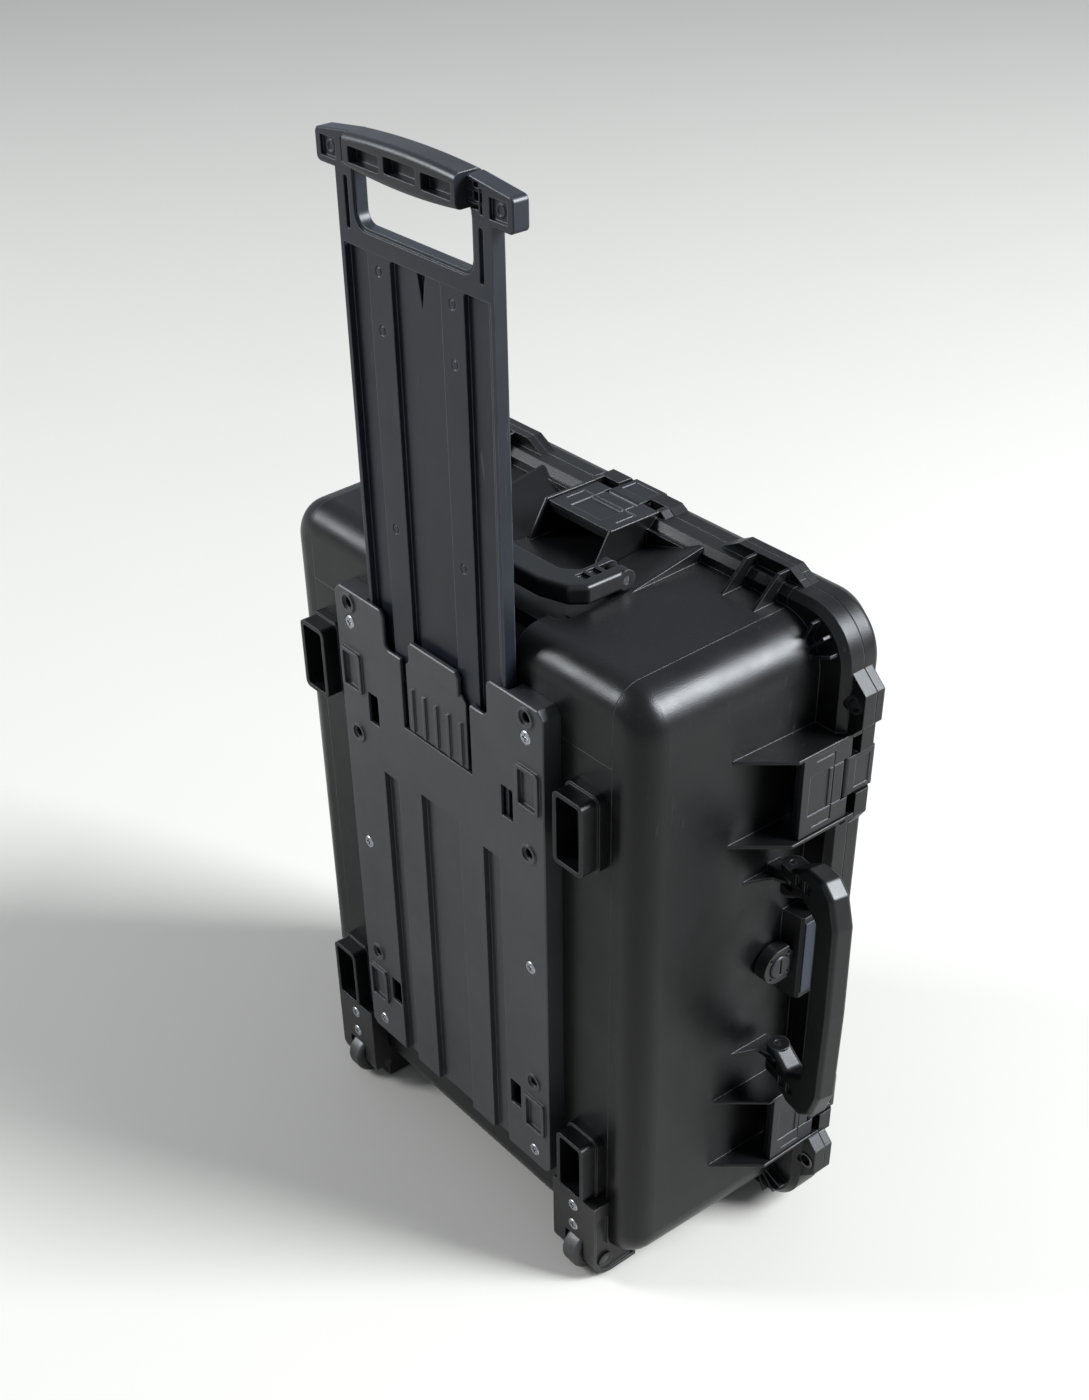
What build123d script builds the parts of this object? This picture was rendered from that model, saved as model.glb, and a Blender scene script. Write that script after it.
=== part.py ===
from build123d import *
import math
import os

# Hard equipment case on two wheels, standing upright, with a pull-out trolley handle.
# While modelling, X runs across the case, Y from the trolley cover (Y = 0) to the lid, and Z is up,
# with X = 0 and Z = 0 in the middle of the case. Everything is moved to its final origin at export.

# Base shell
BODY_REAR = 15.7
PARTING = 187.0
PARTING_GAP = 0.5
HALF_W = 206.0
HALF_H = 268.2
CORNER_R = 37.0
DRAFT = 1.35
EDGE_R = 22.0
WALL = 5.0

# Flange around the parting line
FLANGE_W = 228.8
FLANGE_H = 279.5
FLANGE_R = 40.0
SHELF_Y = 170.0
FLANGE_CHAMFER = 5.0
LID_FLANGE_END = 202.0
LID_OUTER = 236.0
LID_EDGE_R = 28.0
GASKET_OUT = 3.5
GASKET_IN = 0.5
LUG_TOP = 288.5

# Latches: across = u, height over the flange = h
LATCH_RIB = 33.2
RIB_T = 3.0
RIB_TOP = 4.2
LATCH_KNEE_Y = 127.0
TOP_KNEE_Y = 133.0
LEVER_HALF = 32.4
LEVER_FRONT = 134.0
LEVER_REAR = 173.3
HOOK_HALF = 15.8
HOOK_SLOT = 17.2
HOOK_END = 205.0
PLATE_TOP = 2.6
PLATE_T = 3.5
HOOK_T = 2.2
LATCH_PIN_Y = 179.0
LATCH_PIN_H = -0.5
LATCH_PIN_R = 1.8
BARREL_R = 3.1
CATCH_Y = 198.0
CATCH_H = -3.5
CATCH_R = 2.0
SIDE_LATCH_Z = 156.7
RUNNING = 0.05

# Hinges on the -X side
HINGE_X = -235.0
HINGE_Y = PARTING + PARTING_GAP / 2
HINGE_R = 6.0
HINGE_PIN_R = 3.0
HINGE_Z = 150.0
KNUCKLE_GAP = 0.5

# Carrying handles
HANDLE_PIN_R = 3.0
TOP_HANDLE_REACH = 54.0
TOP_HANDLE_T = 15.0
TOP_HANDLE_W = 84.0
TOP_PIVOT_Y = 105.6
TOP_PIVOT_Z = 274.7
SIDE_HANDLE_REACH = 62.0
SIDE_HANDLE_T = 17.0
SIDE_HANDLE_W = 98.0
SIDE_HANDLE_FLARE = 13.0
SIDE_PIVOT_X = 224.0
SIDE_PIVOT_Y = 140.5
SIDE_HANDLE_ANGLE = -10.0

# Recesses in the top face
RECESS_HALF = 85.0
RECESS_FLOOR = 256.0
RECESS_Y0 = 46.0
RECESS_Y1 = 168.0
POCKET_HALF = 72.0
POCKET_FLOOR = 226.0

# Trolley
COVER_T = 2.7
COVER_HALF = 120.6
COVER_BOTTOM = -206.0
COVER_EAR_TOP = 228.5
PANEL_Y0 = 3.0
PANEL_Y1 = 12.5
PANEL_HALF = 78.5
PANEL_BOTTOM = 100.0
PANEL_TOP = 535.0
GRIP_TOP = 555.5
GRIP_HALF = 98.5
GRIP_BACK = 14.4
GRIP_RIGHT = 54.5
CORE_Y0 = 4.5
CORE_Y1 = 13.0
CORE_Z0 = 545.0
TONGUE_ROOT = 139.5
TONGUE_HALF = 35.0
TONGUE_Y = 1.0
TONGUE_BACK = 2.6
TONGUE_PIVOT_Y = 1.8
CHANNELS = ((-72.5, -54.0, 84.0), (-25.0, 22.0, 88.0), (50.0, 69.5, 82.0))
CHANNEL_FLOOR = 5.0
CHANNEL_BACK = 7.2
PANEL_FACE = 4.2
PANEL_GROOVE = 8.0
WINDOW_HALF = 58.5

# Wheels
WHEEL_Y = 13.0
WHEEL_Z = -268.5
WHEEL_R = 20.0
WHEEL_IN = 142.0
WHEEL_OUT = 159.5
SLOT_IN = 139.5
SLOT_OUT = 162.0
BRACKET_IN = 125.0
BRACKET_OUT = 174.5
AXLE_R = 3.5

# Padlock rings, pressure valve and screws
PADLOCK_X = 233.0
PADLOCK_Z = 217.0
PADLOCK_BORE = 5.0
PADLOCK_RING = 7.0
VALVE_Y = 142.0
VALVE_Z = -3.0
VALVE_FACE = 217.0
SCREW_R = 2.0
SCREW_HEAD_R = 5.2
SCREW_TIP = 20.0
COVER_SCREWS = [(side * 102.5, z) for side in (-1, 1) for z in (202.0, 0.0, -191.0)]
BRACKET_SCREWS = [(side * 149.5, z) for side in (-1, 1) for z in (-216.5, -238.5)]


def block(x0, x1, y0, y1, z0, z1):
    centre = ((x0 + x1) / 2, (y0 + y1) / 2, (z0 + z1) / 2)
    return Pos(*centre) * Box(x1 - x0, y1 - y0, z1 - z0)


def along_y(sketch, y0, y1):
    """Extrudes a sketch drawn in (X, Z) from y0 to y1."""
    return extrude(Plane.XZ.offset(-y0) * sketch, amount=y1 - y0, dir=(0, 1, 0))


def along_x(points, x0, x1):
    """Extrudes a polygon of (Y, Z) points from x0 to x1."""
    outline = Plane.YZ.offset(x0) * Polygon(*points, align=None)
    return extrude(outline, amount=x1 - x0, dir=(1, 0, 0))


def along_z(points, z0, z1):
    """Extrudes a polygon of (X, Y) points from z0 to z1."""
    outline = Plane.XY.offset(z0) * Polygon(*points, align=None)
    return extrude(outline, amount=z1 - z0, dir=(0, 0, 1))


def polygon_y(points, y0, y1):
    """Extrudes a polygon of (X, Z) points from y0 to y1."""
    return along_y(Polygon(*points, align=None), y0, y1)


def rod_x(y, z, radius, x0, x1):
    return Pos((x0 + x1) / 2, y, z) * Rot(0, 90, 0) * Cylinder(radius, x1 - x0)


def rod_y(x, z, radius, y0, y1):
    return Pos(x, (y0 + y1) / 2, z) * Rot(90, 0, 0) * Cylinder(radius, y1 - y0)


def rod_z(x, y, radius, z0, z1):
    return Pos(x, y, (z0 + z1) / 2) * Cylinder(radius, z1 - z0)


def both_sides(shape):
    """The shape and its mirror image across X = 0."""
    return shape + mirror(shape, about=Plane.YZ)


def drafted_box(grow, rear, front, radius):
    """A box with rounded, drafted sides, narrowing from the parting line to the rear face."""
    outline = RectangleRounded(2 * (HALF_W + grow), 2 * (HALF_H + grow), CORNER_R + grow)
    solid = extrude(Plane.XZ.offset(-front) * outline, amount=front - rear, taper=DRAFT)
    return fillet(solid.edges().group_by(Axis.Y)[0], radius)


def on_side(shape, z):
    """Turns a latch piece built on the top face onto the +X face, centred at height z."""
    turned = Rot(0, 90, 0) * Pos(0, 0, -FLANGE_H) * shape
    return Pos(FLANGE_W, 0, z) * turned


def latch_set(shape):
    """One shape for the top latch and the two on the side."""
    return [shape, on_side(shape, SIDE_LATCH_Z), on_side(shape, -SIDE_LATCH_Z)]


def flange_lug(y0, y1):
    """Raised corner lug on the top edge, with sloping ends; its twins on the bottom edge are the feet."""
    points = [(97, FLANGE_H - 6), (97, FLANGE_H), (114, LUG_TOP), (162, LUG_TOP), (177, FLANGE_H)]
    points.append((177, FLANGE_H - 6))
    lug = both_sides(polygon_y(points, y0, y1))
    return lug + mirror(lug, about=Plane.XY)


def padlock_lug(y0, y1):
    points = [(224, 186), (FLANGE_W, 188), (242, 202), (242, 227), (FLANGE_W, 239), (224, 240)]
    lug = polygon_y(points, y0, y1)
    return lug + mirror(lug, about=Plane.XY)


def padlock_holes(radius, y0, y1):
    return [rod_y(PADLOCK_X, side * PADLOCK_Z, radius, y0, y1) for side in (1, -1)]


def base_latch_ribs(wall_z, knee_y, tip_y):
    """Two ribs that guard a latch, with sloping shoulders at the parting line."""
    top = FLANGE_H + RIB_TOP
    rib = along_x(
        [(tip_y, wall_z), (knee_y, top), (PARTING, top), (PARTING, wall_z - 2), (tip_y, wall_z - 2)],
        LATCH_RIB,
        LATCH_RIB + RIB_T,
    )
    rim = rib.edges().filter_by(Axis.X, reverse=True).filter_by(lambda e: e.center().Z > wall_z + 1)
    rib = fillet(rim.filter_by(lambda e: e.center().Y < PARTING - 1), 1.1)
    outer = LATCH_RIB + RIB_T
    shoulder = polygon_y(
        [(LATCH_RIB, FLANGE_H - 6), (LATCH_RIB, top), (outer + 1, top), (outer + 14, FLANGE_H - 6)],
        PARTING - 8,
        PARTING,
    )
    return both_sides(rib + shoulder)


def lid_latch_lugs():
    """Two rounded blocks on the lid, either side of the hook."""
    start = PARTING + PARTING_GAP
    top = FLANGE_H + RIB_TOP
    outer = LATCH_RIB + RIB_T
    root = FLANGE_H - 7.6
    profile = [(start, root), (start, top), (200, top), (206, FLANGE_H - 3), (206, root)]
    lug = along_x(profile, HOOK_SLOT, outer)
    shoulder = polygon_y(
        [(outer - 1, FLANGE_H - 6), (outer - 1, top), (outer + 1, top), (outer + 17, FLANGE_H - 6)],
        start,
        LID_FLANGE_END - 2,
    )
    return both_sides(lug + shoulder)


def latch_pocket():
    return block(-LATCH_RIB, LATCH_RIB, 166, PARTING + 1, FLANGE_H - 4.4, FLANGE_H + 20)


def latch_lever():
    """The pull plate of a latch, with two barrels on the latch pin and a lip for the fingers."""
    top = FLANGE_H + PLATE_TOP
    pin_z = FLANGE_H + LATCH_PIN_H
    plate = block(-LEVER_HALF, LEVER_HALF, LEVER_FRONT, LATCH_PIN_Y, top - PLATE_T, top)
    plate -= block(-HOOK_SLOT, HOOK_SLOT, LEVER_REAR, LATCH_PIN_Y + 5, top - 10, top + 5)
    plate += both_sides(rod_x(LATCH_PIN_Y, pin_z, BARREL_R, HOOK_SLOT, LEVER_HALF))
    lip = along_x(
        [(LEVER_FRONT, top), (LEVER_FRONT + 9, top), (LEVER_FRONT + 5, top - 9), (LEVER_FRONT + 2, top - 9)],
        -LEVER_HALF,
        LEVER_HALF,
    )
    plate += lip
    # Sunk middle panel, a groove across, and a seam down each side of the hook.
    plate -= block(-16.5, 16.5, LEVER_FRONT + 7, LEVER_FRONT + 26, top - 0.9, top + 1)
    plate -= block(-28, 28, LEVER_FRONT + 29, LEVER_FRONT + 30.2, top - 0.9, top + 1)
    plate -= both_sides(block(15.5, 16.5, LEVER_FRONT + 25, LEVER_REAR + 1, top - 0.9, top + 1))
    plate -= both_sides(block(26.5, 27.5, LEVER_FRONT + 12, LEVER_FRONT + 29.5, top - 0.6, top + 1))
    plate -= rod_x(LATCH_PIN_Y, pin_z, LATCH_PIN_R + RUNNING, -LEVER_HALF - 1, LEVER_HALF + 1)
    return plate


def latch_hook():
    """The hook of a latch: a plate from the latch pin over the catch pin of the lid."""
    top = FLANGE_H + PLATE_TOP
    pin_z = FLANGE_H + LATCH_PIN_H
    hook = block(-HOOK_HALF, HOOK_HALF, LATCH_PIN_Y, HOOK_END, top - HOOK_T, top)
    hook = chamfer(hook.edges().filter_by(Axis.X).group_by(Axis.Y)[-1].sort_by(Axis.Z)[-1], 1.2)
    hook -= block(-12, 12, LATCH_PIN_Y + 7, HOOK_END - 5, top - 0.6, top + 1)
    hook += rod_x(LATCH_PIN_Y, pin_z, BARREL_R, -HOOK_HALF, HOOK_HALF)
    hook -= rod_x(LATCH_PIN_Y, pin_z, LATCH_PIN_R + RUNNING, -HOOK_HALF - 1, HOOK_HALF + 1)
    return hook


def carrying_handle(half, reach, arm_t, thick, flare):
    """A bowed handle in its own frame: pivots on the U axis (X), bar towards +Y, thickness along Z.

    The arms start at the given half width and lean out by the flare. Each one ends in a fork that
    straddles a boss on the case.
    """
    wide = half + flare
    inner = half - arm_t
    root = inner + flare * 0.75
    points = [(half, -1), (half, 5), (wide, 24), (wide, reach - 20), (wide - 9, reach - 9)]
    points += [(wide - 32, reach - 1.5), (0, reach)]
    hollow = [(inner, -1), (inner, 5), (root, 22), (root - 10, reach - 24), (0, reach - 23)]
    outline = points + [(-x, y) for x, y in points[-2::-1]]
    inside = [(-x, y) for x, y in hollow[:-1]] + hollow[::-1]
    body = extrude(Plane.XY * Polygon(*outline, *inside, align=None), amount=thick / 2, both=True)
    long_edges = body.edges().filter_by(Axis.Z).filter_by(lambda e: e.center().Y > 12)
    body = fillet(long_edges, 5)
    body = fillet(body.edges().filter_by(lambda e: abs(e.center().Z) > 3 and e.center().Y > 12), 3.5)
    body -= block(-half - 5, half + 5, -5, 0, -20, 20)
    # Two shallow pockets on each face of each arm, with a rib left between them.
    middle = (root + wide) / 2 - 1
    for v0, v1 in ((14, 21), (24, 31)):
        pocket = block(middle - 5, middle + 4, v0, v1, thick / 2 - 2.2, thick)
        body -= both_sides(pocket) + both_sides(mirror(pocket, about=Plane.XY))
    body += both_sides(rod_x(0, 0, thick / 2, inner, half))
    return body


def arched_bar(half, bottom, end_top, mid_top, y0, y1, sag=0.0):
    """A bar across X with an arched top edge, and a bottom edge that may sag in the middle."""
    with BuildSketch() as outline:
        with BuildLine():
            Line((-half, bottom), (-half, end_top))
            ThreePointArc((-half, end_top), (0, mid_top), (half, end_top))
            Line((half, end_top), (half, bottom))
            if sag:
                ThreePointArc((half, bottom), (0, bottom - sag), (-half, bottom))
            else:
                Line((half, bottom), (-half, bottom))
        make_face()
    return along_y(outline.sketch, y0, y1)


def fork_slots(boss_in, boss_out):
    """Gap in each arm of a handle for its boss."""
    return both_sides(block(boss_in - 0.5, boss_out + 0.5, -20, 10.5, -20, 20))


def screw(x, z, head_y, tip_y, head_r, head_t, shank_r):
    """A cross-head screw driven along +Y."""
    head = rod_y(x, z, head_r, head_y, head_y + head_t)
    head = chamfer(head.edges().group_by(Axis.Y)[0], 0.5)
    body = head + rod_y(x, z, shank_r, head_y + head_t, tip_y)
    for wide, tall in ((1.4, 6.2), (6.2, 1.4)):
        body -= block(x - wide / 2, x + wide / 2, head_y - 1, head_y + 1.2, z - tall / 2, z + tall / 2)
    return body


def knuckle(z0, z1, y_in, y_out):
    """A hinge barrel with the web that joins it to a flange."""
    barrel = rod_z(HINGE_X, HINGE_Y, HINGE_R, z0, z1)
    return barrel + block(HINGE_X - 2, -FLANGE_W + 1, y_in, y_out, z0, z1)


def gasket_ring(y0, y1):
    outer = RectangleRounded(2 * (HALF_W + GASKET_OUT), 2 * (HALF_H + GASKET_OUT), CORNER_R + GASKET_OUT)
    inner = RectangleRounded(2 * (HALF_W - GASKET_IN), 2 * (HALF_H - GASKET_IN), CORNER_R - GASKET_IN)
    return along_y(outer - inner, y0, y1)


def lock_rings(y0, y1):
    outer = padlock_holes(PADLOCK_RING, y0, y1)
    inner = padlock_holes(PADLOCK_BORE, y0 - 1, y1 + 1)
    return Compound(children=[ring - hole for ring, hole in zip(outer, inner)])


def shell_walls(shape, end_wall, side_x, side_z):
    """The regions of a shell, cut apart so that each wall is a simple shape of its own.

    In order: the end wall, then the walls at +Z, -Z, -X and +X.
    """
    far = 400
    centre = end_wall & block(-side_x, side_x, -far, far, -side_z, side_z)
    rest = shape - centre
    pieces = [shape & centre]
    pieces.append(rest & block(-side_x, side_x, -far, far, 0, far))
    pieces.append(rest & block(-side_x, side_x, -far, far, -far, 0))
    pieces.append(rest & block(-far, -side_x, -far, far, -far, far))
    pieces.append(rest & block(side_x, far, -far, far, -far, far))
    return pieces


# ---------------------------------------------------------------- base shell

base = drafted_box(0, BODY_REAR, PARTING, EDGE_R)
flange_outline = RectangleRounded(2 * FLANGE_W, 2 * FLANGE_H, FLANGE_R)
base_flange = along_y(flange_outline, SHELF_Y, PARTING)
base_flange = chamfer(base_flange.edges().group_by(Axis.Y)[0], FLANGE_CHAMFER)
base += base_flange
base += flange_lug(PARTING - 6.5, PARTING)
base += padlock_lug(PARTING - 11, PARTING)

# Gusset ribs under the flange lugs, top and bottom.
gusset_profile = [(145, HALF_H - 4), (171, LUG_TOP - 1), (PARTING - 4, LUG_TOP - 1)]
gusset_profile.append((PARTING - 4, HALF_H - 4))
lug_gusset = along_x(gusset_profile, -1.25, 1.25)
for x in (-161, -131, 131, 161):
    placed = Pos(x, 0, 0) * lug_gusset
    base += placed + mirror(placed, about=Plane.XY)

# Small radial ribs under the rounded flange corners.
for degrees in (22, 45, 68):
    reach = FLANGE_R - 7
    rib = Pos(FLANGE_W - FLANGE_R, 0, FLANGE_H - FLANGE_R) * Rot(0, -degrees, 0)
    rib *= block(reach - 24, reach, 163, SHELF_Y + 1, -1, 1)
    rib = both_sides(rib)
    base += rib + mirror(rib, about=Plane.XY)

# Top recess under the handle, and the deeper finger pocket behind it.
top_recess = block(-RECESS_HALF, RECESS_HALF, RECESS_Y0, RECESS_Y1, RECESS_FLOOR, 330)
top_recess = fillet(top_recess.edges().filter_by(Axis.Z).group_by(Axis.Y)[0], 10)
pocket_profile = [(0, POCKET_FLOOR), (26, POCKET_FLOOR), (RECESS_Y0 + 1, RECESS_FLOOR - 12)]
pocket_profile += [(RECESS_Y0 + 1, 330), (0, 330)]
finger_pocket = along_x(pocket_profile, -POCKET_HALF, POCKET_HALF)
base -= top_recess
base -= finger_pocket
base += along_y(
    Pos(0, (RECESS_FLOOR + FLANGE_H) / 2 - 3) * Rectangle(2 * RECESS_HALF + 4, FLANGE_H - RECESS_FLOOR - 6),
    SHELF_Y - 3,
    PARTING - 1,
)

# Cheeks beside the top latch: each slopes down from a crest at the edge of the recess to the latch rib.
crest = RECESS_HALF + 3
crest_front = Plane.XZ.offset(-64) * Polygon(
    (37, 250), (37, 251), (RECESS_HALF, 259), (crest, 259), (crest, 250), align=None
)
crest_rear = Plane.XZ.offset(-SHELF_Y - 3) * Polygon(
    (37, 250), (37, 262), (RECESS_HALF, 278), (crest, 278), (crest, 250), align=None
)
base += both_sides(loft([crest_front, crest_rear], ruled=True))

# Latch ribs, and pockets for the latch barrels in the flange.
base += base_latch_ribs(RECESS_FLOOR, TOP_KNEE_Y, 116)
side_ribs = base_latch_ribs(FLANGE_H - (FLANGE_W - 204.6), LATCH_KNEE_Y, 94)
base += on_side(side_ribs, SIDE_LATCH_Z) + on_side(side_ribs, -SIDE_LATCH_Z)
for pocket in latch_set(latch_pocket()):
    base -= pocket

# Handle bosses.
top_boss = rod_x(TOP_PIVOT_Y, TOP_PIVOT_Z, 6.3, 67, 74)
top_boss += block(67, 74, TOP_PIVOT_Y - 6.3, TOP_PIVOT_Y + 6.3, RECESS_FLOOR - 1, TOP_PIVOT_Z)
base += both_sides(top_boss)
side_boss = rod_z(SIDE_PIVOT_X, SIDE_PIVOT_Y, 6.3, 81, 89)
side_boss += block(203, SIDE_PIVOT_X, SIDE_PIVOT_Y - 6.3, SIDE_PIVOT_Y + 6.3, 81, 89)
gusset = along_z([(203, 108), (213.5, 131), (SIDE_PIVOT_X, 134.5), (SIDE_PIVOT_X, 146), (203, 146)], 81, 83.5)
for piece in (side_boss, gusset):
    base += piece + mirror(piece, about=Plane.XY)

# Pad for the nameplate.
base += along_z([(203, 153), (222, 156), (224, 158), (224, 172), (203, 172)], -38, 38)

# Four hollow feet on the rear face, each a tube with a wider step at its root.
feet = []
for x, z0, z1 in ((150.85, 120.7, 180.1), (150.85, -198.7, -140.5)):
    height = z1 - z0
    at = Pos(x, (z0 + z1) / 2)
    foot = along_y(at * RectangleRounded(30.7, height, 5), -4.7, BODY_REAR)
    foot += along_y(at * RectangleRounded(34.7, height + 4, 6.5), 8.5, BODY_REAR)
    foot -= along_y(at * RectangleRounded(23.7, height - 7, 3), -6, BODY_REAR - 1)
    feet += [foot, mirror(foot, about=Plane.YZ)]

# Hinge knuckles on the base.
for z in (-HINGE_Z, HINGE_Z):
    for z0, z1 in ((z - 30, z - 12), (z + 12, z + 30)):
        base += knuckle(z0, z1, PARTING - 7, PARTING - 1)

# Cavity, leaving walls round the recesses and the wheel wells.
cavity = drafted_box(-WALL, BODY_REAR + WALL, PARTING + 1, EDGE_R - WALL)
cavity -= block(-RECESS_HALF - 4, RECESS_HALF + 4, RECESS_Y0 - 5, PARTING + 5, RECESS_FLOOR - 4.5, 330)
cavity -= along_x(
    [(0, POCKET_FLOOR - 4.5), (28, POCKET_FLOOR - 4.5), (RECESS_Y0 + 6, RECESS_FLOOR - 14)]
    + [(RECESS_Y0 + 6, 330), (0, 330)],
    -POCKET_HALF - 4,
    POCKET_HALF + 4,
)
cavity -= both_sides(rod_x(WHEEL_Y, WHEEL_Z, WHEEL_R + 7, SLOT_IN - 4.5, SLOT_OUT + 4.5))
base -= cavity
base -= both_sides(rod_x(WHEEL_Y, WHEEL_Z, WHEEL_R + 2.5, SLOT_IN, SLOT_OUT))

# Holes for pins, screws and rings.
latch_bore = rod_x(LATCH_PIN_Y, FLANGE_H + LATCH_PIN_H, LATCH_PIN_R, -40, 40)
for bore in latch_set(latch_bore):
    base -= bore
base -= rod_x(TOP_PIVOT_Y, TOP_PIVOT_Z, HANDLE_PIN_R, -76, 76)
for z0, z1 in ((79, 91), (-91, -79)):
    base -= rod_z(SIDE_PIVOT_X, SIDE_PIVOT_Y, HANDLE_PIN_R, z0, z1)
for z in (-HINGE_Z, HINGE_Z):
    base -= rod_z(HINGE_X, HINGE_Y, HINGE_PIN_R, z - 31, z + 31)
    base -= rod_z(HINGE_X, HINGE_Y, HINGE_R + 0.3, z - 12, z + 12)
for x, z in COVER_SCREWS + BRACKET_SCREWS:
    base -= rod_y(x, z, SCREW_R, BODY_REAR - 2, SCREW_TIP)
for hole in padlock_holes(PADLOCK_RING, 160, PARTING + 1):
    base -= hole

# ---------------------------------------------------------------- lid

LID_START = PARTING + PARTING_GAP
lid_outline = RectangleRounded(2 * HALF_W, 2 * HALF_H, CORNER_R)
lid = extrude(Plane.XZ.offset(-LID_START) * lid_outline, amount=-(LID_OUTER - LID_START), taper=DRAFT)
lid = fillet(lid.edges().group_by(Axis.Y)[-1], LID_EDGE_R)
lid_flange = along_y(flange_outline, LID_START, LID_FLANGE_END)
lid_flange = fillet(lid_flange.edges().group_by(Axis.Y)[-1], 5)
lid += lid_flange
lid += flange_lug(LID_START, LID_START + 6.5)
lid += padlock_lug(LID_START, LID_START + 7)
hook_pocket = block(-HOOK_SLOT, HOOK_SLOT, LID_START - 1, 207.5, FLANGE_H - 7, FLANGE_H + 20)
for pocket in latch_set(hook_pocket):
    lid -= pocket
for z in (-HINGE_Z, HINGE_Z):
    lid += knuckle(z - 12 + KNUCKLE_GAP, z + 12 - KNUCKLE_GAP, LID_START + 1, LID_START + 8)
# Shallow raised panel on the lid face.
lid += along_y(RectangleRounded(300, 420, 24), LID_OUTER - 1, LID_OUTER + 2)
inner_outline = RectangleRounded(2 * (HALF_W - WALL), 2 * (HALF_H - WALL), CORNER_R - WALL)
lid_cavity = extrude(
    Plane.XZ.offset(-(LID_START - 1)) * inner_outline, amount=-(LID_OUTER - WALL - LID_START + 1), taper=DRAFT
)
lid -= fillet(lid_cavity.edges().group_by(Axis.Y)[-1], LID_EDGE_R - WALL)
lid -= gasket_ring(LID_START - 1, LID_START + 3)
catch_bore = rod_x(CATCH_Y, FLANGE_H + CATCH_H, CATCH_R, -38, 38)
lug_places = latch_set(lid_latch_lugs())
lid_lugs = []
for lugs, bore in zip(lug_places, latch_set(catch_bore)):
    lid -= lugs + bore
    lid_lugs += (lugs - bore).solids()
for z in (-HINGE_Z, HINGE_Z):
    lid -= rod_z(HINGE_X, HINGE_Y, HINGE_PIN_R + RUNNING, z - 13, z + 13)
    for z0, z1 in ((z - 31, z - 12), (z + 12, z + 31)):
        lid -= rod_z(HINGE_X, HINGE_Y, HINGE_R + 0.3, z0, z1)
for hole in padlock_holes(PADLOCK_RING, PARTING, 215):
    lid -= hole
lid_gasket = gasket_ring(LID_START + 0.2, LID_START + 3)

# ---------------------------------------------------------------- latches, hinges and lock rings

lever_top, lever_side_upper, lever_side_lower = latch_set(latch_lever())
hook_top, hook_side_upper, hook_side_lower = latch_set(latch_hook())
pin_end = LATCH_RIB + RIB_T
latch_pin = rod_x(LATCH_PIN_Y, FLANGE_H + LATCH_PIN_H, LATCH_PIN_R, -pin_end, pin_end)
catch_pin = rod_x(CATCH_Y, FLANGE_H + CATCH_H, CATCH_R, -38, 38)
latch_pins = Compound(children=latch_set(latch_pin))
catch_pins = Compound(children=latch_set(catch_pin))
hinge_pins = Compound(
    children=[rod_z(HINGE_X, HINGE_Y, HINGE_PIN_R, z - 30.5, z + 30.5) for z in (-HINGE_Z, HINGE_Z)]
)


base_lock_rings = lock_rings(PARTING - 11.8, PARTING)
lid_lock_rings = lock_rings(LID_START, LID_START + 7.8)

# ---------------------------------------------------------------- carrying handles

top_handle = carrying_handle(TOP_HANDLE_W, TOP_HANDLE_REACH, 24, TOP_HANDLE_T, 0) - fork_slots(67, 74)
top_handle = Pos(0, TOP_PIVOT_Y, TOP_PIVOT_Z) * Rot(0, 0, 180) * top_handle
top_handle -= rod_x(TOP_PIVOT_Y, TOP_PIVOT_Z, HANDLE_PIN_R + RUNNING, -90, 90)
top_handle_pin = rod_x(TOP_PIVOT_Y, TOP_PIVOT_Z, HANDLE_PIN_R, 60.5, 83.6)
top_handle_pins = Compound(children=[top_handle_pin, mirror(top_handle_pin, about=Plane.YZ)])

side_handle = carrying_handle(SIDE_HANDLE_W, SIDE_HANDLE_REACH, 25, SIDE_HANDLE_T, SIDE_HANDLE_FLARE)
side_handle -= fork_slots(81, 89)
# Its width goes from X to Z, and its bar points outwards, part way up.
side_handle = Rot(0, 0, SIDE_HANDLE_ANGLE) * Rot(0, 0, -90) * Rot(0, 90, 0) * side_handle
side_handle = Pos(SIDE_PIVOT_X, SIDE_PIVOT_Y, 0) * side_handle
side_handle -= rod_z(SIDE_PIVOT_X, SIDE_PIVOT_Y, HANDLE_PIN_R + RUNNING, -110, 110)
side_handle_pin = rod_z(SIDE_PIVOT_X, SIDE_PIVOT_Y, HANDLE_PIN_R, 73.4, 97.6)
side_handle_pins = Compound(children=[side_handle_pin, mirror(side_handle_pin, about=Plane.XY)])

# ---------------------------------------------------------------- valve and nameplate

valve_body = rod_x(VALVE_Y, VALVE_Z, 15, 206.5, VALVE_FACE)
valve_body += block(206.5, VALVE_FACE, VALVE_Y, 151, VALVE_Z - 15, VALVE_Z + 15)
valve_body -= rod_x(VALVE_Y, VALVE_Z, 10, VALVE_FACE - 2, VALVE_FACE + 1)
for degrees in (45, 135, 225, 315):
    hole_y = VALVE_Y + 12.4 * math.cos(math.radians(degrees))
    hole_z = VALVE_Z + 12.4 * math.sin(math.radians(degrees))
    valve_body -= rod_x(hole_y, hole_z, 1.4, VALVE_FACE - 2.5, VALVE_FACE + 1)
valve_body -= base
valve_core = rod_x(VALVE_Y, VALVE_Z, 9.5, VALVE_FACE - 2, VALVE_FACE + 1.5)
valve_core = chamfer(valve_core.edges().group_by(Axis.X)[-1], 0.8)
valve_core -= block(VALVE_FACE + 0.3, VALVE_FACE + 3, VALVE_Y - 1, VALVE_Y + 1, VALVE_Z - 7, VALVE_Z + 7)
nameplate = block(224, 225.2, 158.5, 168, -33, 33)

# ---------------------------------------------------------------- trolley cover and release tongue

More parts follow.
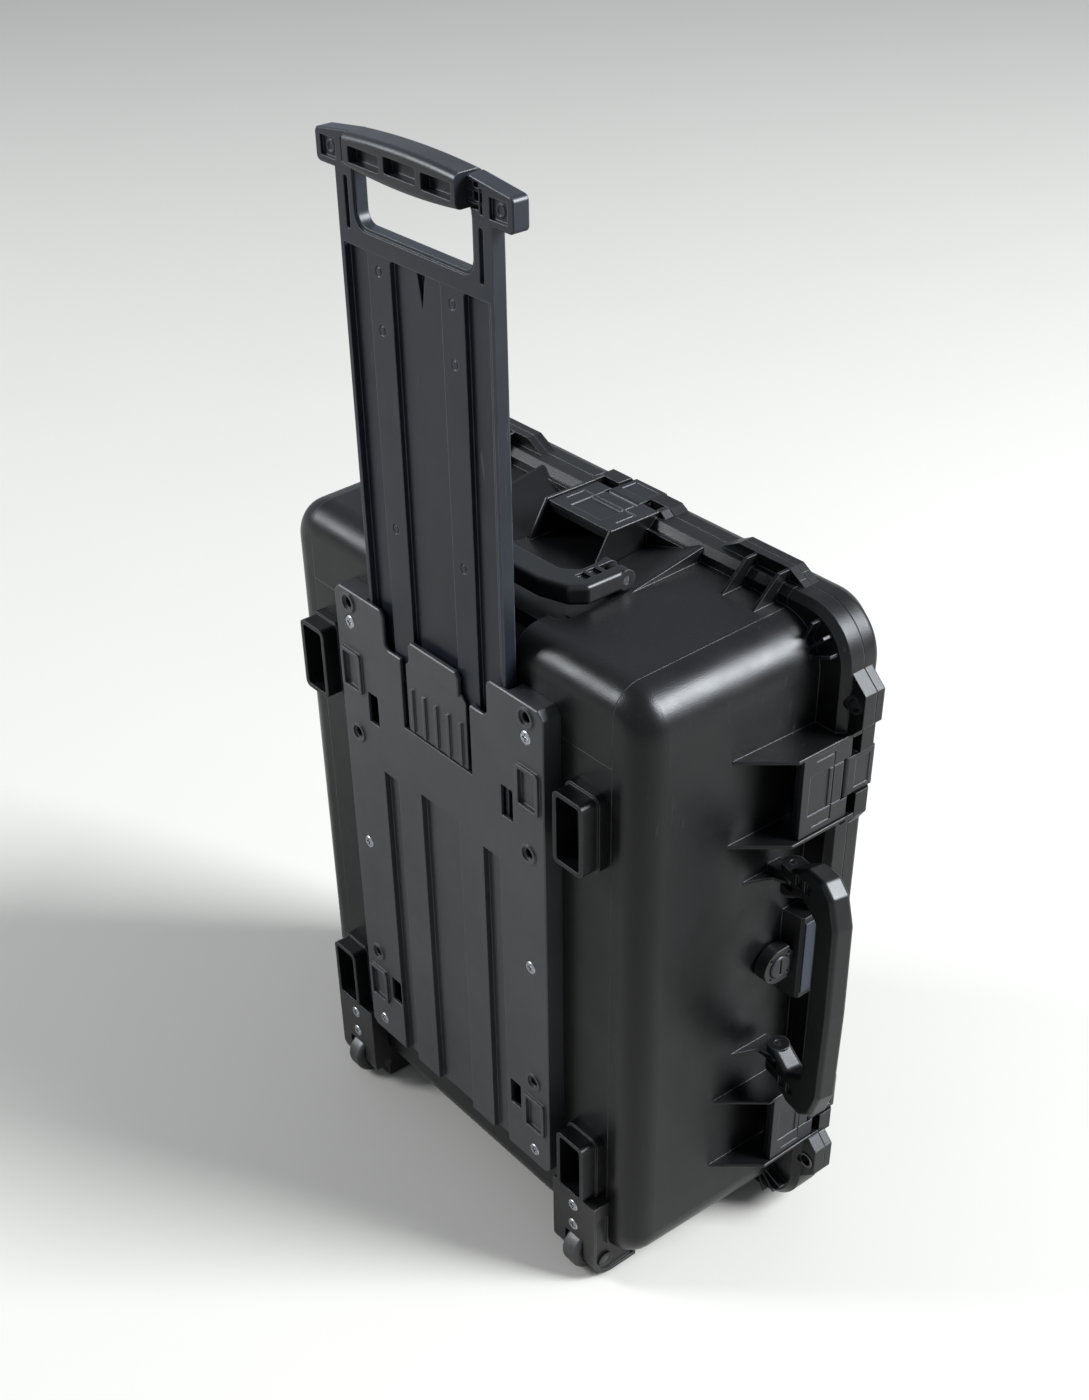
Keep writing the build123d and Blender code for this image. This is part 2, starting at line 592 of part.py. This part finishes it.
cover = polygon_y(
    [
        (-COVER_HALF, COVER_BOTTOM + 5),
        (-COVER_HALF + 5, COVER_BOTTOM),
        (COVER_HALF - 5, COVER_BOTTOM),
        (COVER_HALF, COVER_BOTTOM + 5),
        (COVER_HALF, COVER_EAR_TOP - 6),
        (COVER_HALF - 6, COVER_EAR_TOP),
        (60, COVER_EAR_TOP),
        (60, 198),
        (-60, 198),
        (-60, COVER_EAR_TOP),
        (-COVER_HALF + 6, COVER_EAR_TOP),
        (-COVER_HALF, COVER_EAR_TOP - 6),
    ],
    0,
    BODY_REAR,
)
ear_corners = cover.edges().filter_by(Axis.Y).filter_by(lambda e: abs(abs(e.center().X) - 60) < 0.1)
cover = fillet(ear_corners, 6)
front_rim = cover.faces().sort_by(Axis.Y)[0].edges()
cover = chamfer(front_rim, 0.8)
# Hollow behind the front skin, open upwards for the trolley, with closed ears beside it.
cover -= block(-COVER_HALF + 3, COVER_HALF - 3, COVER_T, BODY_REAR + 1, COVER_BOTTOM + 3, COVER_EAR_TOP - 5)
cover -= block(-82, 82, COVER_T, BODY_REAR + 1, COVER_EAR_TOP - 6, COVER_EAR_TOP + 1)
# Guide rails beside the panel, and posts round the screws.
cover += both_sides(block(PANEL_HALF + 0.8, PANEL_HALF + 3.8, COVER_T - 0.2, BODY_REAR, -125, 115))
for x, z in COVER_SCREWS:
    cover += rod_y(x, z, 6, COVER_T - 0.2, BODY_REAR)
# Deep channels down to the bottom edge, which the panel's grooves slide over.
for x0, x1, top in CHANNELS:
    cover += block(x0 - 1.8, x1 + 1.8, COVER_T - 0.2, CHANNEL_BACK, COVER_BOTTOM, top + 1.8)
    cover -= block(x0, x1, -1, CHANNEL_FLOOR, COVER_BOTTOM - 1, top)
# Opening for the tongue, with a slot down each side of it.
cover -= block(-41, 41, -1, COVER_T + 0.1, TONGUE_ROOT, 240)
for side in (-1, 1):
    for z0, z1 in ((123, 149.5), (-158, -133)):
        window = Pos(side * 80, (z0 + z1) / 2) * RectangleRounded(13.2, z1 - z0, 1.5)
        cover -= along_y(window, -1, COVER_T + 0.1)
    # Raised rims round sunk panels.
    for middle in (160.4, -151.0):
        at = Pos(side * 104.2, middle)
        cover += along_y(at * RectangleRounded(24.4, 35, 3), -2.3, 0.5)
        cover -= along_y(at * RectangleRounded(18.4, 29, 1.5), -3, 1.2)
    # Ringed holes.
    for middle in (218, 105, -116):
        cover += rod_y(side * 103, middle, 8, -1.3, 0.5)
        cover -= rod_y(side * 103, middle, 6, -2, 0.3)
        cover -= rod_y(side * 103, middle, 4.2, -2, COVER_T + 0.1)
for x, z in COVER_SCREWS:
    cover -= rod_y(x, z, SCREW_R, -1, BODY_REAR + 1)
    cover -= rod_y(x, z, SCREW_HEAD_R, -1, 1.4)
    cover -= Pos(x, 0.4, z) * Rot(-90, 0, 0) * Cone(SCREW_HEAD_R, SCREW_HEAD_R + 1.4, 0.9)

tongue = polygon_y(
    [
        (-TONGUE_HALF, TONGUE_ROOT + 1.6),
        (TONGUE_HALF, TONGUE_ROOT + 1.6),
        (TONGUE_HALF, 196),
        (TONGUE_HALF - 5, 201),
        (-TONGUE_HALF + 5, 201),
        (-TONGUE_HALF, 196),
    ],
    TONGUE_Y,
    TONGUE_BACK,
)
tab_outline = [(-29, 199), (29, 199), (29, 214), (26, 218), (-26, 218), (-29, 214)]
tab = polygon_y(tab_outline, -0.9, TONGUE_BACK)
tongue += chamfer(tab.faces().sort_by(Axis.Y)[0].edges(), 0.8)
for x in (-28.8, -14.3, 0, 14.3, 28.8):
    tongue += block(x - 1.5, x + 1.5, -0.6, TONGUE_Y + 0.5, 142, 178)
# Rounded root on the line that the tongue flexes about.
tongue += rod_x(TONGUE_PIVOT_Y, TONGUE_ROOT + 1.6, 0.8, -TONGUE_HALF, TONGUE_HALF)

# ---------------------------------------------------------------- trolley

panel_points = [
    (-PANEL_HALF, PANEL_BOTTOM + 4),
    (-PANEL_HALF + 4, PANEL_BOTTOM),
    (PANEL_HALF - 4, PANEL_BOTTOM),
    (PANEL_HALF, PANEL_BOTTOM + 4),
    (PANEL_HALF, PANEL_TOP),
    (-PANEL_HALF, PANEL_TOP),
]
trolley = polygon_y(panel_points, PANEL_Y0, PANEL_Y1)
# Sunk face between raised borders, and grooves that clear the channels of the cover.
trolley -= block(-75, 75, PANEL_Y0 - 1, PANEL_FACE, PANEL_BOTTOM - 1, 489)
for x0, x1, top in CHANNELS:
    groove = Pos((x0 + x1) / 2, 290) * RectangleRounded(x1 - x0 + 5, 396, 3)
    trolley -= along_y(groove, PANEL_Y0 - 1, PANEL_GROOVE)
    trolley -= block(x0 - 2.5, x1 + 2.5, PANEL_Y0 - 1, PANEL_GROOVE, PANEL_BOTTOM - 1, 110)
# A narrow wedge-shaped slit under the window, and round moulding marks.
trolley -= polygon_y([(-4.2, 486), (4.2, 486), (0, 463)], PANEL_Y0, PANEL_GROOVE + 3.5)
for x, z in ((-40, 440), (36, 440), (-40, 300), (36, 300), (-40, 180), (36, 180), (-40, 478), (36, 478)):
    trolley -= rod_y(x, z, 3.6, PANEL_FACE - 1, PANEL_FACE + 0.5) - rod_y(x, z, 2.4, 0, 9)

end_block = polygon_y(
    [(58, 533.8), (GRIP_HALF, 533.8), (GRIP_HALF, 554.5), (58, GRIP_TOP + 4)], PANEL_Y0, GRIP_BACK
)
end_block = fillet(end_block.edges().filter_by(Axis.Y).group_by(Axis.X)[-1], 4)
end_block = chamfer(end_block.faces().sort_by(Axis.Y)[0].edges(), 0.8)
# Sunk panel with a round mark, and an upright slot, on the front of each end.
end_block -= block(76.5, 93, PANEL_Y0 - 1, PANEL_Y0 + 2.5, 538.4, 551)
end_block += rod_y(84.7, 544.5, 4, PANEL_Y0 + 1.8, PANEL_Y0 + 3) - rod_y(84.7, 544.5, 2.8, 0, PANEL_Y0 + 2.4)
end_block -= block(68, 70.5, PANEL_Y0 - 1, PANEL_Y0 + 5, 539, 553.5)
trolley += both_sides(end_block)
# Window with a stepped edge.
window = Pos(0, 522.75) * RectangleRounded(2 * WINDOW_HALF, 40.5, 9)
trolley -= along_y(window, 0, 20)
stepped = Pos(0, 522.75) * RectangleRounded(2 * WINDOW_HALF + 5, 45.5, 11)
trolley -= along_y(stepped, PANEL_Y0 - 1, PANEL_Y0 + 1.4)
trolley -= both_sides(along_y(Pos(68, 515) * RectangleRounded(4.4, 33, 2), 0, 20))
# Gap between the grip and the right-hand block, crossed by two prongs.
trolley -= block(55, 67, PANEL_Y0 - 1, 9, 541, 556.5)
core = arched_bar(60.5, CORE_Z0, 557.0, 559.8, CORE_Y0, CORE_Y1)
trolley += core
for z in (543.2, 550.6):
    trolley += block(GRIP_RIGHT + 0.3, 69, 4.2, CORE_Y0 + 4, z, z + 2.4)

# Grip sleeve round the core: it meets the left-hand block and stops short of the right-hand one.
sleeve = arched_bar(70, 541, 558.8, 562.2, -4.6, 16.6, sag=4.5)
sleeve = fillet(sleeve.edges().filter_by(lambda e: abs(e.center().X) < 60), 4.5)
sleeve &= block(-57.8, GRIP_RIGHT, -20, 40, 500, 600)
for x0, x1, z0 in ((-52, -20, 543.8), (-15, 17, 545.2), (22, 51, 544.2)):
    pocket = Pos((x0 + x1) / 2, z0 + 5) * RectangleRounded(x1 - x0, 10, 1.6)
    sleeve -= along_y(pocket, -10, 2.2)
sleeve -= core

# ---------------------------------------------------------------- wheels

body_room = drafted_box(0.15, BODY_REAR - 0.1, PARTING, EDGE_R)
bracket_profile = [
    (0, -203),
    (0, -267),
    (2, -274),
    (6.5, -280),
    (12, -283.6),
    (18, -285),
    (45, -285),
    (45, -255),
    (30, -203),
]
bracket = along_x(bracket_profile, BRACKET_IN, BRACKET_OUT)
# The inner arm stops higher at the front.
bracket -= block(BRACKET_IN - 1, SLOT_IN, -1, 14, -290, -271)
bracket -= body_room
bracket -= rod_x(WHEEL_Y, WHEEL_Z, WHEEL_R + 2.5, SLOT_IN, SLOT_OUT)
bracket -= block(SLOT_IN, SLOT_OUT, -1, WHEEL_Y, -300, WHEEL_Z + 18)
bracket -= block(SLOT_IN, SLOT_OUT, WHEEL_Y - 1, 38, -300, WHEEL_Z)
# Recessed panel on the outer side, with a rim in front and below.
recess_profile = [(3, -218), (3, -266), (9, -277), (18, -282), (42, -282), (42, -266), (14, -250), (14, -218)]
bracket -= along_x(recess_profile, BRACKET_OUT - 2, BRACKET_OUT + 1) - rod_x(
    WHEEL_Y, WHEEL_Z, 7, BRACKET_OUT - 3, BRACKET_OUT + 1
)
bracket -= rod_x(WHEEL_Y, WHEEL_Z, AXLE_R, BRACKET_IN - 1, BRACKET_OUT + 1)
for x, z in BRACKET_SCREWS[2:]:
    bracket -= rod_y(x, z, SCREW_R, -1, BODY_REAR + 1)
    bracket -= rod_y(x, z, SCREW_HEAD_R, -1, 1.4)

wheel = rod_x(WHEEL_Y, WHEEL_Z, WHEEL_R, WHEEL_IN, WHEEL_OUT)
wheel = fillet(wheel.edges().filter_by(GeomType.CIRCLE), 4)
for x0, x1 in ((WHEEL_IN - 1, WHEEL_IN + 1.5), (WHEEL_OUT - 1.5, WHEEL_OUT + 1)):
    wheel -= rod_x(WHEEL_Y, WHEEL_Z, 13, x0, x1) - rod_x(WHEEL_Y, WHEEL_Z, 6.5, x0, x1)
wheel -= rod_x(WHEEL_Y, WHEEL_Z, AXLE_R + RUNNING, WHEEL_IN - 1, WHEEL_OUT + 1)
axle = rod_x(WHEEL_Y, WHEEL_Z, AXLE_R, BRACKET_IN + 0.5, BRACKET_OUT - 0.3)

# ---------------------------------------------------------------- export

base_end = block(-400, 400, -50, BODY_REAR + WALL, -400, 400)
base_walls = shell_walls(base, base_end, 172, 205)
lid_end = block(-400, 400, LID_OUTER - WALL, 400, -400, 400)
lid_walls = shell_walls(lid, lid_end, 168, 230)
# The right wall is also cut at the sides of its two hook pockets.
cuts = [-400, *(side * SIDE_LATCH_Z + edge for side in (-1, 1) for edge in (-HOOK_SLOT, HOOK_SLOT)), 400]
right_bands = [block(0, 400, -50, 400, z0, z1) for z0, z1 in zip(cuts, cuts[1:])]
lid_right_wall = Compound(children=[lid_walls[4] & band for band in right_bands])

parts = {
    "base_rear_wall": base_walls[0],
    "base_top_wall": base_walls[1],
    "base_bottom_wall": base_walls[2],
    "base_left_wall": base_walls[3],
    "base_right_wall": base_walls[4],
    "rear_feet": Compound(children=feet),
    "lid_face": lid_walls[0],
    "lid_top_wall": lid_walls[1],
    "lid_bottom_wall": lid_walls[2],
    "lid_left_wall": lid_walls[3],
    "lid_right_wall": lid_right_wall,
    "lid_latch_lugs": Compound(children=lid_lugs),
    "lid_gasket": lid_gasket,
    "hinge_pins": hinge_pins,
    "latch_lever_top": lever_top,
    "latch_lever_side_upper": lever_side_upper,
    "latch_lever_side_lower": lever_side_lower,
    "latch_hook_top": hook_top,
    "latch_hook_side_upper": hook_side_upper,
    "latch_hook_side_lower": hook_side_lower,
    "latch_pins": latch_pins,
    "catch_pins": catch_pins,
    "base_lock_rings": base_lock_rings,
    "lid_lock_rings": lid_lock_rings,
    "top_handle": top_handle,
    "top_handle_pins": top_handle_pins,
    "side_handle": side_handle,
    "side_handle_pins": side_handle_pins,
    "valve_body": valve_body,
    "valve_core": valve_core,
    "nameplate": nameplate,
    "cover_plate": cover,
    "release_tongue": tongue,
    "cover_screws": Compound(
        children=[screw(x, z, -0.6, SCREW_TIP, SCREW_HEAD_R, 2.0, SCREW_R) for x, z in COVER_SCREWS]
    ),
    "wheel_bracket_left": mirror(bracket, about=Plane.YZ),
    "wheel_bracket_right": bracket,
    "bracket_screws": Compound(
        children=[screw(x, z, -0.6, SCREW_TIP, SCREW_HEAD_R, 2.0, SCREW_R) for x, z in BRACKET_SCREWS]
    ),
    "wheel_left": mirror(wheel, about=Plane.YZ),
    "wheel_right": wheel,
    "axle_left": mirror(axle, about=Plane.YZ),
    "axle_right": axle,
    "trolley_frame": trolley,
    "trolley_grip": sleeve,
}

# The origin is on the floor, under the middle of the case's bounding box.
boxes = [shape.bounding_box() for shape in parts.values()]
low = [min(getattr(box.min, axis) for box in boxes) for axis in "XYZ"]
high = [max(getattr(box.max, axis) for box in boxes) for axis in "XYZ"]
ORIGIN = ((low[0] + high[0]) / 2, (low[1] + high[1]) / 2, low[2])

os.makedirs("parts", exist_ok=True)
for name, shape in parts.items():
    moved = Pos(-ORIGIN[0], -ORIGIN[1], -ORIGIN[2]) * shape
    export_step(moved, f"parts/{name}.step")
print("origin", [round(value, 3) for value in ORIGIN])
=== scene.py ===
import bpy
import math
from mathutils import Matrix, Vector


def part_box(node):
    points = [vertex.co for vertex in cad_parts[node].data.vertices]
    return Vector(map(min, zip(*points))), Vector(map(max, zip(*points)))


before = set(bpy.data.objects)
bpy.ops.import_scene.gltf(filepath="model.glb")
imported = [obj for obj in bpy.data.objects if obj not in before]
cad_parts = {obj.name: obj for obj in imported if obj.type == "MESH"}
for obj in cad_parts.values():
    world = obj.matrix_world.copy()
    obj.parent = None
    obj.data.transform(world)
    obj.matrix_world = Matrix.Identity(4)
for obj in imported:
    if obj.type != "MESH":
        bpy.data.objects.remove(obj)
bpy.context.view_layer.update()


# Millimetres of the case's own frame (X = 0 mid-width, Y = 0 cover face, Z = 0 mid-height) to metres.
cover_low, cover_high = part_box("cover_plate")
axle_low, axle_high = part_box("axle_right")
CASE_X = (cover_low.x + cover_high.x) / 2
CASE_Y = (axle_low.y + axle_high.y) / 2 - 0.013
CASE_Z = (axle_low.z + axle_high.z) / 2 + 0.2685


def place(x, y, z):
    return Vector((CASE_X + x / 1000, CASE_Y + y / 1000, CASE_Z + z / 1000))


# ---------------------------------------------------------------- materials

class Nodes:
    """A material's node tree, with short calls for the nodes that every finish here is made of."""

    def __init__(self, name):
        self.material = bpy.data.materials.new(name)
        self.material.use_nodes = True
        self.tree = self.material.node_tree
        self.tree.nodes.clear()
        self.out = self.tree.nodes.new("ShaderNodeOutputMaterial")
        self.shader = self.tree.nodes.new("ShaderNodeBsdfPrincipled")
        self.link(self.shader.outputs["BSDF"], self.out.inputs["Surface"])
        self.coords = self.tree.nodes.new("ShaderNodeTexCoord").outputs["Object"]

    def link(self, a, b):
        self.tree.links.new(a, b)

    def put(self, target, value):
        if isinstance(value, bpy.types.NodeSocket):
            self.link(value, target)
        else:
            target.default_value = value

    def stretched(self, scale):
        node = self.tree.nodes.new("ShaderNodeMapping")
        node.inputs["Scale"].default_value = scale
        self.link(self.coords, node.inputs["Vector"])
        return node.outputs["Vector"]

    def noise(self, scale, detail=4.0, rough=0.5, distortion=0.0, vector=None):
        node = self.tree.nodes.new("ShaderNodeTexNoise")
        node.inputs["Scale"].default_value = scale
        node.inputs["Detail"].default_value = detail
        node.inputs["Roughness"].default_value = rough
        node.inputs["Distortion"].default_value = distortion
        self.link(vector or self.coords, node.inputs["Vector"])
        return node.outputs["Fac"]

    def cells(self, scale):
        node = self.tree.nodes.new("ShaderNodeTexVoronoi")
        node.inputs["Scale"].default_value = scale
        self.link(self.coords, node.inputs["Vector"])
        return node.outputs["Distance"]

    def ramp(self, value, stops):
        node = self.tree.nodes.new("ShaderNodeValToRGB")
        ramp = node.color_ramp
        while len(ramp.elements) < len(stops):
            ramp.elements.new(0.5)
        for element, (at, colour) in zip(ramp.elements, stops):
            element.position = at
            grey = isinstance(colour, (int, float))
            element.color = (colour, colour, colour, 1) if grey else (*colour, 1)
        self.link(value, node.inputs["Fac"])
        return node.outputs["Color"]

    def map_range(self, value, low, high, to_low, to_high):
        node = self.tree.nodes.new("ShaderNodeMapRange")
        for name, number in zip(("From Min", "From Max", "To Min", "To Max"), (low, high, to_low, to_high)):
            node.inputs[name].default_value = number
        self.link(value, node.inputs["Value"])
        return node.outputs["Result"]

    def math(self, operation, a, b):
        node = self.tree.nodes.new("ShaderNodeMath")
        node.operation = operation
        self.put(node.inputs[0], a)
        self.put(node.inputs[1], b)
        return node.outputs["Value"]

    def mix(self, factor, a, b, blend="MIX"):
        node = self.tree.nodes.new("ShaderNodeMix")
        node.data_type = "RGBA"
        node.blend_type = blend
        self.put(node.inputs["Factor"], factor)
        for socket, value in ((node.inputs[6], a), (node.inputs[7], b)):
            self.put(socket, (*value, 1) if isinstance(value, tuple) and len(value) == 3 else value)
        return node.outputs[2]

    def bump(self, height, strength, distance, normal=None):
        node = self.tree.nodes.new("ShaderNodeBump")
        node.inputs["Strength"].default_value = strength
        node.inputs["Distance"].default_value = distance
        self.link(height, node.inputs["Height"])
        if normal:
            self.link(normal, node.inputs["Normal"])
        return node.outputs["Normal"]

    def rounded_normal(self, radius):
        node = self.tree.nodes.new("ShaderNodeBevel")
        node.samples = 6
        node.inputs["Radius"].default_value = radius
        return node.outputs["Normal"]

    def edge_highlight_mask(self, rounded, low, high):
        """1 on convex edges, from the difference between the true and a rounded normal; used to paint a
        highlight along them.
        """
        geometry = self.tree.nodes.new("ShaderNodeNewGeometry")
        dot = self.tree.nodes.new("ShaderNodeVectorMath")
        dot.operation = "DOT_PRODUCT"
        self.link(rounded, dot.inputs[0])
        self.link(geometry.outputs["Normal"], dot.inputs[1])
        return self.map_range(dot.outputs["Value"], low, high, 1.0, 0.0)


EDGE_RADIUS = 0.0011
GRAIN_DEPTH = 0.00016
# Lighter grey used both for real scratches and for the painted highlight along convex edges.
SCRATCH_AND_HIGHLIGHT_GREY = (0.075, 0.078, 0.085)
SCRATCHES_ALONG_Z = (34, 34, 5)


def moulded_plastic(
    name, dark, light, roughness, gloss, grain=0.3, scuffs=0.25, scratch_and_highlight=SCRATCH_AND_HIGHLIGHT_GREY, flow=SCRATCHES_ALONG_Z
):
    """Textured structural plastic: fine grain, cloudy tone, scratches, dust and a painted highlight along
    convex edges.
    """
    n = Nodes(name)
    rounded = n.rounded_normal(EDGE_RADIUS)
    cloud = n.noise(9, 5, 0.55, 0.4)
    colour = n.mix(n.map_range(cloud, 0.3, 0.7, 0, 1), dark, light)
    speck = n.ramp(n.noise(1500, 2, 0.6), [(0.36, 0.78), (0.64, 1.2)])
    colour = n.mix(1.0, colour, speck, "MULTIPLY")
    scratches = n.ramp(n.noise(6, 8, 0.72, 1.4, n.stretched(flow)), [(0.60, 0.0), (0.70, 1.0)])
    patches = n.ramp(n.noise(5, 3, 0.5), [(0.5, 0.0), (0.72, 1.0)])
    worn = n.math("MULTIPLY", n.math("MULTIPLY", scratches, patches), scuffs)
    colour = n.mix(worn, colour, scratch_and_highlight)
    # Painted highlight: a lighter grey laid along convex edges and broken up by noise, standing in for
    # light caught by rounded edges.
    highlight_breakup = n.map_range(n.noise(60, 4, 0.6), 0.35, 0.7, 0.15, 0.7)
    edge_highlight = n.math("MULTIPLY", n.edge_highlight_mask(rounded, 0.86, 0.995), highlight_breakup)
    colour = n.mix(edge_highlight, colour, scratch_and_highlight)
    n.link(colour, n.shader.inputs["Base Color"])
    rough = n.map_range(n.noise(30, 5, 0.6), 0.3, 0.7, roughness - 0.05, roughness + 0.07)
    n.link(n.math("ADD", rough, n.math("MULTIPLY", worn, 0.25)), n.shader.inputs["Roughness"])
    pits = n.bump(n.cells(1100), grain, GRAIN_DEPTH, rounded)
    n.link(n.bump(n.noise(14, 2, 0.5), 0.12, 0.004, pits), n.shader.inputs["Normal"])
    n.shader.inputs["IOR"].default_value = 1.5
    n.shader.inputs["Specular IOR Level"].default_value = gloss
    return n.material


def metal(name, colour, roughness, brushed=(1, 1, 1)):
    n = Nodes(name)
    streaks = n.noise(260, 4, 0.6, 0.2, n.stretched(brushed))
    tone = n.mix(n.map_range(streaks, 0.3, 0.7, 0, 1), tuple(c * 0.72 for c in colour), colour)
    stain = n.ramp(n.noise(90, 4, 0.6), [(0.5, 0.0), (0.7, 0.5)])
    n.link(n.mix(stain, tone, (0.24, 0.22, 0.19)), n.shader.inputs["Base Color"])
    n.shader.inputs["Metallic"].default_value = 1.0
    n.link(n.map_range(streaks, 0.3, 0.7, roughness - 0.08, roughness + 0.1), n.shader.inputs["Roughness"])
    n.link(n.bump(streaks, 0.25, 0.0002), n.shader.inputs["Normal"])
    return n.material


def rubbery(name, colour, roughness, dust):
    n = Nodes(name)
    worn = n.ramp(n.noise(40, 6, 0.65, 0.5), [(0.45, 0.0), (0.75, 1.0)])
    n.link(n.mix(n.math("MULTIPLY", worn, 0.5), colour, dust), n.shader.inputs["Base Color"])
    rough = n.map_range(n.noise(120, 4), 0.3, 0.7, roughness - 0.06, roughness + 0.08)
    n.link(rough, n.shader.inputs["Roughness"])
    n.link(n.bump(n.noise(700, 3, 0.6), 0.35, 0.0003), n.shader.inputs["Normal"])
    return n.material


SHELL = moulded_plastic(
    "shell_plastic", (0.0020, 0.0020, 0.0022), (0.0036, 0.0036, 0.0040), roughness=0.34, gloss=0.22
)
COVER = moulded_plastic(
    "cover_plastic",
    (0.013, 0.0135, 0.0150),
    (0.021, 0.022, 0.0245),
    roughness=0.42,
    gloss=0.5,
    grain=0.25,
    scuffs=0.5,
    scratch_and_highlight=(0.07, 0.07, 0.075),
)
PANEL = moulded_plastic(
    "trolley_plastic",
    (0.0040, 0.0052, 0.0080),
    (0.0085, 0.0102, 0.0150),
    roughness=0.36,
    gloss=0.26,
    grain=0.14,
    scuffs=1.0,
    scratch_and_highlight=(0.10, 0.11, 0.13),
    flow=(30, 30, 3),
)
LATCH = moulded_plastic(
    "latch_plastic",
    (0.0032, 0.0037, 0.0048),
    (0.0058, 0.0064, 0.0080),
    roughness=0.38,
    gloss=0.28,
    grain=0.15,
    scuffs=0.4,
)
HANDLE = moulded_plastic(
    "handle_plastic",
    (0.0024, 0.0025, 0.0027),
    (0.0048, 0.0050, 0.0054),
    roughness=0.36,
    gloss=0.26,
    grain=0.2,
    scuffs=0.35,
)
GRIP = moulded_plastic(
    "grip_plastic",
    (0.006, 0.0067, 0.0085),
    (0.010, 0.0112, 0.0140),
    roughness=0.38,
    gloss=0.28,
    grain=0.2,
    scuffs=0.4,
)
BRACKET = moulded_plastic(
    "bracket_plastic",
    (0.0055, 0.0053, 0.0048),
    (0.010, 0.0096, 0.0088),
    roughness=0.42,
    gloss=0.3,
    grain=0.3,
    scuffs=0.6,
)
PLATE = moulded_plastic(
    "nameplate",
    (0.0055, 0.0085, 0.0165),
    (0.0080, 0.0120, 0.0220),
    roughness=0.34,
    gloss=0.3,
    grain=0.05,
    scuffs=0.3,
    scratch_and_highlight=(0.06, 0.07, 0.09),
)
WHEEL = rubbery("wheel_plastic", (0.012, 0.0118, 0.012), 0.45, (0.075, 0.07, 0.064))
SEAL = rubbery("seal_rubber", (0.009, 0.009, 0.009), 0.7, (0.03, 0.03, 0.03))
ZINC = metal("zinc_plated_steel", (0.42, 0.44, 0.47), 0.34)
STEEL = metal("steel_pin", (0.10, 0.10, 0.105), 0.36, (1, 1, 6))

FINISH = {
    "lid_gasket": SEAL,
    "cover_plate": COVER,
    "release_tongue": COVER,
    "trolley_frame": PANEL,
    "trolley_grip": GRIP,
    "top_handle": HANDLE,
    "side_handle": HANDLE,
    "valve_body": HANDLE,
    "valve_core": LATCH,
    "nameplate": PLATE,
    "wheel_bracket_left": BRACKET,
    "wheel_bracket_right": BRACKET,
    "wheel_left": WHEEL,
    "wheel_right": WHEEL,
    "cover_screws": ZINC,
    "bracket_screws": ZINC,
    "base_lock_rings": STEEL,
    "lid_lock_rings": STEEL,
    "rear_feet": SHELL,
}
for name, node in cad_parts.items():
    finish = FINISH.get(name, STEEL)
    if name.startswith(("base_", "lid_")) and name not in FINISH:
        finish = SHELL
    elif name.startswith(("latch_lever", "latch_hook")):
        finish = LATCH
    node.data.materials.clear()
    node.data.materials.append(finish)

# ---------------------------------------------------------------- floor, light and camera

FLOOR_SIZE = 40
bpy.ops.mesh.primitive_plane_add(size=FLOOR_SIZE, location=(0, 0, 0))
floor = bpy.context.object
floor.name = "floor"
f = Nodes("floor_pale")
f.link(f.mix(f.noise(3, 2), (0.345, 0.330, 0.305), (0.355, 0.340, 0.315)), f.shader.inputs["Base Color"])
f.shader.inputs["Roughness"].default_value = 0.8
f.shader.inputs["Specular IOR Level"].default_value = 0.2
floor.data.materials.append(f.material)

world = bpy.data.worlds.new("studio")
bpy.context.scene.world = world
world.use_nodes = True
surroundings = world.node_tree.nodes["Background"]
surroundings.inputs["Color"].default_value = (0.84, 0.91, 1, 1)
surroundings.inputs["Strength"].default_value = 0.62


def softbox(name, location, target, size, power, colour):
    light = bpy.data.lights.new(name, "AREA")
    light.shape = "RECTANGLE"
    light.size, light.size_y = size
    light.energy = power
    light.color = colour
    lamp = bpy.data.objects.new(name, light)
    bpy.context.scene.collection.objects.link(lamp)
    lamp.location = location
    lamp.rotation_euler = (Vector(target) - Vector(location)).to_track_quat("-Z", "Y").to_euler()


# Two tall boxes, well back to the left and right, light the rounded edges and the floor.
AIM = (0, 0, 0.4)
softbox("side_right", (2.97, 2.31, 3.37), AIM, (1.54, 2.42), 860, (0.90, 0.95, 1.0))
softbox("side_left", (-3.19, -3.08, 2.82), AIM, (1.32, 2.20), 300, (0.92, 0.96, 1.0))

CAMERA_AT = place(909.1, -640.2, 881.4)
AZIMUTH = math.radians(52.9)
ELEVATION = math.radians(37.78)
ROLL = math.radians(-2.13)
SENSOR = 36
FOCAL_LENGTH = 47.3313
SHIFT_X = 0.035571
SHIFT_Y = 0.128071
back = Vector(
    (math.sin(AZIMUTH) * math.cos(ELEVATION), -math.cos(AZIMUTH) * math.cos(ELEVATION), math.sin(ELEVATION))
)
right = (-back).cross(Vector((0, 0, 1))).normalized()
up = right.cross(-back)
image_right = math.cos(ROLL) * right + math.sin(ROLL) * up
image_up = -math.sin(ROLL) * right + math.cos(ROLL) * up
camera = bpy.data.cameras.new("camera")
camera.sensor_width = SENSOR
camera.lens = FOCAL_LENGTH
camera.shift_x = SHIFT_X
camera.shift_y = SHIFT_Y
camera.clip_start = 0.05
viewer = bpy.data.objects.new("camera", camera)
bpy.context.scene.collection.objects.link(viewer)
turn = Matrix((image_right, image_up, back)).transposed()
viewer.matrix_world = Matrix.Translation(CAMERA_AT) @ turn.to_4x4()
bpy.context.scene.camera = viewer
bpy.context.scene.view_settings.view_transform = "Standard"
